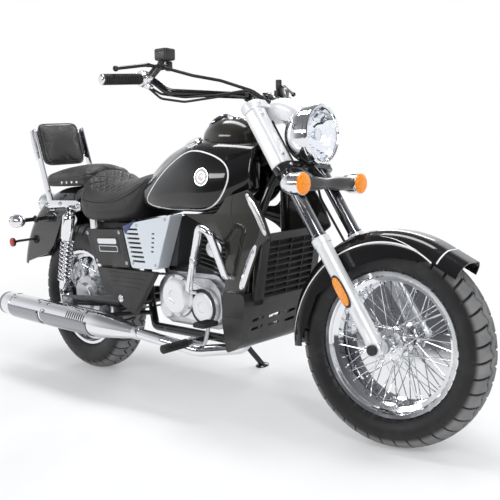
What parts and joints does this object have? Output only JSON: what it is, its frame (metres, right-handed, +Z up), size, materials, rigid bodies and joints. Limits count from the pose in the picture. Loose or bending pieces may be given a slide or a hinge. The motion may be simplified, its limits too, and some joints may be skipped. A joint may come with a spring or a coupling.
{
  "type": "motorcycle",
  "caption": "Black and chrome cruiser motorcycle with wire wheels, stepped seat and backrest, parked on its side stand.",
  "frame": {"origin": "on the floor, under the middle of the bounding box", "axes": "+X towards the front wheel, +Y to the rider's left, +Z up"},
  "size_m": [2.2688, 0.9532, 1.2372],
  "materials": {
    "chrome": "polished",
    "black_paint": "gloss",
    "silver_paint": "satin",
    "frame_black": "satin",
    "alloy": "satin",
    "steel": "satin",
    "tyre": "matte",
    "rubber": "matte",
    "black_plastic": "satin",
    "leather": "grained",
    "glass": "clear",
    "amber": "gloss",
    "red": "gloss"
  },
  "bodies": {
    "frame": {"frame": "frame_black", "swingarm": "frame_black", "rear_axle": "steel", "engine": "alloy", "exhaust": "chrome", "fuel_tank": "black_paint", "gauge_pod": "chrome", "rider_seat": "leather", "pillion_seat": "leather", "backrest_pad": "leather", "sissy_bar": "chrome", "fender_rails": "chrome", "rear_fender": "black_paint", "rear_lamps": "chrome", "red_lenses": "red", "rear_shocks": "chrome", "side_covers": "black_plastic", "air_box": "black_plastic", "radiator": "black_plastic", "radiator_shroud": "black_plastic", "crash_bars": "chrome", "foot_controls": "rubber", "chain": "steel"},
    "steering": {"fork_sliders": "silver_paint", "fork_tubes": "chrome", "yokes": "alloy", "front_axle": "steel", "handlebar": "black_paint", "grips": "rubber", "hand_controls": "black_plastic", "cables": "rubber", "headlamp_shell": "chrome", "headlamp_lens": "glass", "nacelle": "black_plastic", "front_signals": "chrome", "amber_lenses": "amber", "front_fender": "black_paint", "brake_caliper": "alloy"},
    "front_wheel": {"front_tyre": "tyre", "front_rim": "chrome", "front_hub": "steel", "brake_disc": "steel"},
    "rear_wheel": {"rear_tyre": "tyre", "rear_rim": "chrome", "rear_hub": "steel"},
    "side_stand": {"side_stand": "frame_black"}
  },
  "joints": [
    {"name": "steering", "type": "hinge", "parent": "frame", "child": "steering", "pos_m": [0.42465, -0.01336, 0.86425], "axis": [-0.5288, 0.118, 0.8405], "range_deg": [-40.6, 25.4]},
    {"name": "front_wheel_spin", "type": "hinge", "parent": "steering", "child": "front_wheel", "pos_m": [0.83268, -0.08679, 0.29844], "axis": [-0.1124, 0.9718, -0.2072], "continuous": true},
    {"name": "rear_wheel_spin", "type": "hinge", "parent": "frame", "child": "rear_wheel", "pos_m": [-0.70198, -0.09196, 0.30644], "axis": [-0.0002, 0.9903, -0.1392], "continuous": true},
    {"name": "side_stand_fold", "type": "hinge", "parent": "frame", "child": "side_stand", "pos_m": [-0.0607, 0.04635, 0.23136], "axis": [0.1727, 0.8619, 0.4767], "range_deg": [0, 93.67]}
  ]
}
